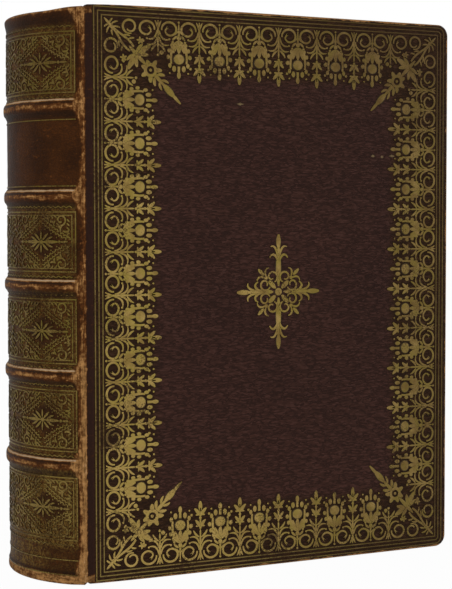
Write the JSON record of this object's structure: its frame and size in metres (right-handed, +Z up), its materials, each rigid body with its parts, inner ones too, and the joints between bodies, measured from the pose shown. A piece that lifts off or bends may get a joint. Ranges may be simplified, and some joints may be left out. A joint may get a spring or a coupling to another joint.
{
  "type": "antique leather book",
  "caption": "Upright leather-bound book with a rounded spine, raised bands, gold-tooled covers that swing open, and a sewn block of pages.",
  "frame": {"origin": "on the surface the book stands on, under the middle of its bounding box", "axes": "+Z up the spine, +X from the spine to the fore edge, front cover facing -Y"},
  "size_m": [0.2061, 0.0772, 0.25],
  "materials": {
    "cover_leather": "dark brown morocco, fine grain, dull sheen, worn edges",
    "spine_leather": "brown leather, rubbed to tan along the joints and on the bands",
    "gilding": "dulled gold tooling, thin and partly rubbed away",
    "pages": "aged rag paper, cut edges",
    "endpaper": "plain aged endpaper",
    "millboard": "dense grey-brown millboard",
    "lining_cloth": "open-weave linen and glue",
    "lining_paper": "brown kraft-like paper tube",
    "sewing_cord": "twisted hemp cord",
    "band_core": "strip of leather under each band",
    "endband_silk": "silk thread worked over a cord in two colours"
  },
  "bodies": {
    "book_block": {"text_block": "pages", "spine_lining": "lining_cloth", "spine_hollow": "lining_paper", "spine_leather": "spine_leather", "spine_gilding": "gilding", "headband": "endband_silk", "tailband": "endband_silk", "front_flyleaf": "endpaper", "back_flyleaf": "endpaper", "sewing_cord_1": "sewing_cord", "sewing_cord_2": "sewing_cord", "sewing_cord_3": "sewing_cord", "sewing_cord_4": "sewing_cord", "sewing_cord_5": "sewing_cord", "raised_band_1": "band_core", "raised_band_2": "band_core", "raised_band_3": "band_core", "raised_band_4": "band_core", "raised_band_5": "band_core"},
    "front_cover": {"front_board": "millboard", "front_leather": "cover_leather", "front_pastedown": "endpaper", "front_gilt_lines": "gilding", "front_gilt_border": "gilding", "front_gilt_corners": "gilding", "front_gilt_centre": "gilding"},
    "back_cover": {"back_board": "millboard", "back_leather": "cover_leather", "back_pastedown": "endpaper", "back_gilt_lines": "gilding", "back_gilt_border": "gilding", "back_gilt_corners": "gilding"}
  },
  "joints": [
    {"name": "front_cover_hinge", "type": "hinge", "parent": "book_block", "child": "front_cover", "pos_m": [-0.08135, -0.0377, 0.125], "axis": [0, 0, -1], "range_deg": [0, 170]},
    {"name": "back_cover_hinge", "type": "hinge", "parent": "book_block", "child": "back_cover", "pos_m": [-0.08135, 0.0377, 0.125], "axis": [0, 0, 1], "range_deg": [0, 170]}
  ]
}
